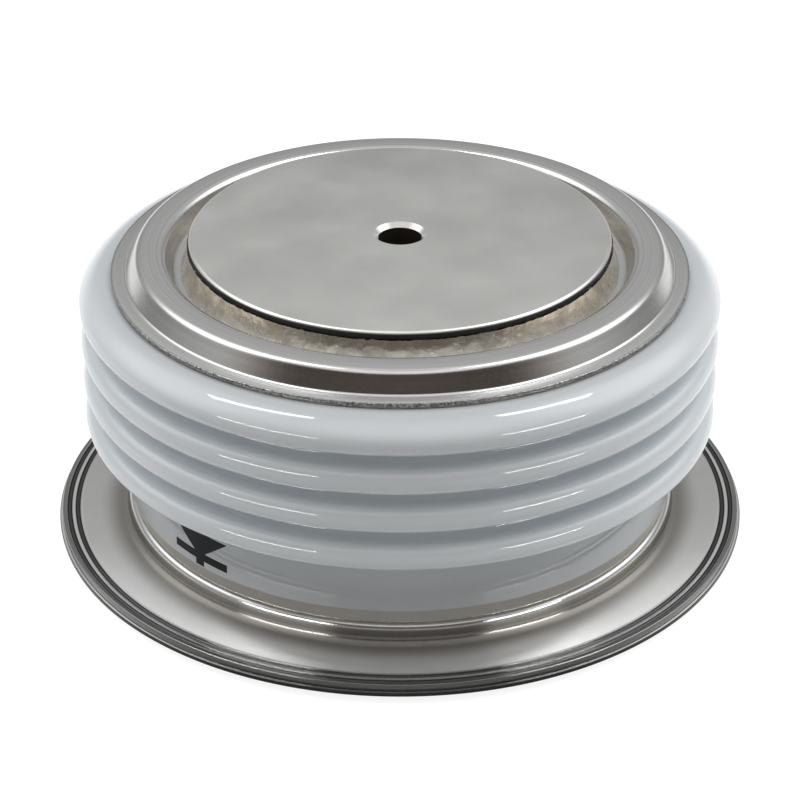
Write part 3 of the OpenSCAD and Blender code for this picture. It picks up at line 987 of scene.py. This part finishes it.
class DIODE_OT_studio(bpy.types.Operator):
    """Set up floor, tent, lamps, world and camera"""

    bl_idname = "diode.studio"
    bl_label = "Studio"

    def execute(self, context):
        scene = context.scene
        studio = scene.diode_studio
        self.camera(scene, studio)
        self.floor(studio)
        self.tent(studio)
        glinting = bpy.data.collections.new("pieces the low strips reach")
        for name in ("glazed_ceramic_ring", "grooved_weld_flange"):
            glinting.objects.link(bpy.data.objects[name])
        for strip in (
            ("high_strip_left", -108, 66, 0.084, 0.28, studio.high_strips, None),
            ("high_strip_right", 114, 65, 0.084, 0.24, studio.high_strips, None),
            ("low_strip_left", -45, 20, 0.48, 0.06, studio.low_strips, glinting),
            ("low_strip_right", 50, 24, 0.40, 0.06, studio.low_strips, glinting),
        ):
            self.strip(*strip)
        scene.world = bpy.data.worlds.new("studio white")
        scene.world.use_nodes = True
        background = scene.world.node_tree.nodes["Background"]
        background.inputs["Color"].default_value = grey(1.0)
        scene.view_settings.view_transform = "Standard"
        return {"FINISHED"}

    def camera(self, scene, studio):
        """Camera at the photograph's viewing angle."""
        deselect()
        bpy.ops.object.camera_add(
            location=(0.0, -studio.camera_back, studio.camera_height),
            rotation=(math.pi / 2 - studio.camera_pitch, 0.0, 0.0),
        )
        scene.camera = bpy.context.object
        scene.camera.data.lens = studio.lens
        scene.camera.data.sensor_width = FRAME_WIDTH
        scene.camera.data.clip_start = 10 * MM

    def floor(self, studio):
        """White floor that keeps a faint shadow, and that gloss mirrors dark in front."""
        deselect()
        bpy.ops.mesh.primitive_plane_add(size=FLOOR_WIDTH, location=(0.0, 0.0, -FLOOR_GAP))
        floor = bpy.context.object
        floor.name = "studio_floor"
        finish = Finish("white floor", grey(0.65), 0.0, 1.0)
        finish.feed("Specular IOR Level", 0.0)
        along = finish.part("Y")
        front = finish.ramp(along, 0.0, -30.0, -100.0, "SMOOTHSTEP")
        finish.tint(finish.blend(front, finish.tone, grey(0.34)))
        camera = finish.node("LightPath", "Is Camera Ray")
        mirrored = finish.remap(along, -30 * MM, -12 * MM, 0.15, 1.0, "SMOOTHSTEP")
        glowing = finish.times(finish.larger(mirrored, camera), 1.0 - studio.shadow)
        white = finish.node("Emission", 0, {"Strength": glowing})
        matt = finish.node("BsdfDiffuse", 0, {"Color": grey(2.5 * studio.shadow)})
        lit = finish.node("AddShader", 0, enumerate((white, matt)))
        seen = camera
        for ray in ("Is Glossy Ray", "Is Transmission Ray"):
            seen = finish.larger(seen, finish.node("LightPath", ray))
        mix = finish.node("MixShader", 0, enumerate((seen, finish.shader.outputs[0], lit)))
        finish.put(finish.nodes["Material Output"].inputs["Surface"], mix)
        floor.data.materials.append(finish.material)

    def tent(self, studio):
        """White light tent with a dark front opening; the camera sees through the tent."""
        dome = Section(TENT_RADIUS, 0.0).arc(0.0, 0.0, 90, steps=24).spun("studio_tent", 96)
        dome.visible_camera = False
        finish = Finish("white tent", grey(0.0), 0.0, 1.0)
        finish.feed("Specular IOR Level", 0.0)
        height = finish.part("Z")
        backward = finish.math("DIVIDE", finish.part("Y"), finish.reach())

        def up(start, end, low_out=0.0, high_out=1.0):
            """Map from one elevation to another."""
            heights = [TENT_RADIUS * math.sin(math.radians(angle)) for angle in (start, end)]
            return finish.remap(height, *heights, low_out, high_out, "SMOOTHSTEP")

        def across(start, end):
            """0 to 1 from one azimuth to another, alike on both sides."""
            turns = [-math.cos(math.radians(angle)) for angle in (start, end)]
            return finish.remap(backward, *turns, kind="SMOOTHSTEP")

        white = up(5, 45, studio.tent_foot, studio.tent_top)
        for azimuth, elevation, inner, outer, amount in (
            (-110, 48, 10, 30, studio.left_softbox),
            (110, 48, 10, 30, studio.right_softbox),
            (0, 72, 8, 30, studio.top_softbox),
            (180, 20, 22, 48, -studio.grey_back),
        ):
            inputs = {0: finish.place, 1: direction(azimuth, elevation) / TENT_RADIUS}
            facing = finish.node("VectorMath", "Value", inputs, operation="DOT_PRODUCT")
            ends = [math.cos(math.radians(angle)) for angle in (outer, inner)]
            white = finish.plus(white, finish.remap(facing, *ends, 0.0, amount, "SMOOTHSTEP"))
        backdrop = finish.times(across(120, 160), up(16, 2, 0.0, studio.backdrop))
        opening = finish.times(across(80, 45), finish.times(up(12, 24), up(62, 42)))
        open_part = finish.remap(opening, 0.0, 1.0, 1.0, 1.0 - studio.opening)
        warm_grey = (1.0, 0.80, 0.68, 1.0)
        finish.feed("Emission Color", finish.blend(opening, grey(1.0), warm_grey))
        finish.feed("Emission Strength", finish.times(finish.plus(white, backdrop), open_part))
        dome.data.materials.append(finish.material)

    def strip(self, name, azimuth, elevation, wide, tall, watts, reached):
        """A long lamp that only shows as a glint, on all pieces or a few."""
        deselect()
        middle = direction(azimuth, elevation) * STRIP_DISTANCE
        turned = middle.to_track_quat("Z", "Y").to_euler()
        bpy.ops.object.light_add(type="AREA", location=middle, rotation=turned)
        lamp = bpy.context.object
        lamp.name = name
        lamp.visible_diffuse = False
        lamp.light_linking.receiver_collection = reached
        lamp.data.shape = "RECTANGLE"
        lamp.data.size = wide
        lamp.data.size_y = tall
        lamp.data.energy = watts


class DIODE_PT_panel(bpy.types.Panel):
    """Lists the diode's pieces and the studio in the sidebar"""

    bl_idname = "DIODE_PT_panel"
    bl_label = "Press-Pack Diode"
    bl_space_type = "VIEW_3D"
    bl_region_type = "UI"
    bl_category = "Diode"

    def draw(self, context):
        for operator in OPERATORS:
            self.layout.operator(operator.bl_idname)
        for name in GROUPS:
            settings = getattr(context.scene, name)
            box = self.layout.box()
            for key in settings.bl_rna.properties.keys():
                if key not in ("rna_type", "name"):
                    box.prop(settings, key)


GROUPS = {
    "diode_ceramic": CeramicSizes,
    "diode_symbol": SymbolSizes,
    "diode_metal": MetalSizes,
    "diode_stack": StackSizes,
    "diode_colours": FinishColours,
    "diode_studio": StudioSettings,
}
OPERATORS = (
    DIODE_OT_ceramic,
    DIODE_OT_symbol,
    DIODE_OT_poles,
    DIODE_OT_diaphragm,
    DIODE_OT_flange,
    DIODE_OT_brazes,
    DIODE_OT_stack,
    DIODE_OT_studio,
)


def register():
    """Registers settings, operators and the panel."""
    for name, group in GROUPS.items():
        bpy.utils.register_class(group)
        setattr(bpy.types.Scene, name, bpy.props.PointerProperty(type=group))
    for operator in OPERATORS:
        bpy.utils.register_class(operator)
    bpy.utils.register_class(DIODE_PT_panel)


def unregister():
    """Removes what register added."""
    bpy.utils.unregister_class(DIODE_PT_panel)
    for operator in reversed(OPERATORS):
        bpy.utils.unregister_class(operator)
    for name, group in GROUPS.items():
        delattr(bpy.types.Scene, name)
        bpy.utils.unregister_class(group)


def main():
    """Builds the diode and the studio."""
    register()
    bpy.ops.diode.ceramic()
    bpy.ops.diode.symbol()
    bpy.ops.diode.poles()
    bpy.ops.diode.diaphragm()
    bpy.ops.diode.flange()
    bpy.ops.diode.brazes()
    bpy.ops.diode.stack()
    bpy.ops.diode.studio()


if __name__ == "__main__":
    main()
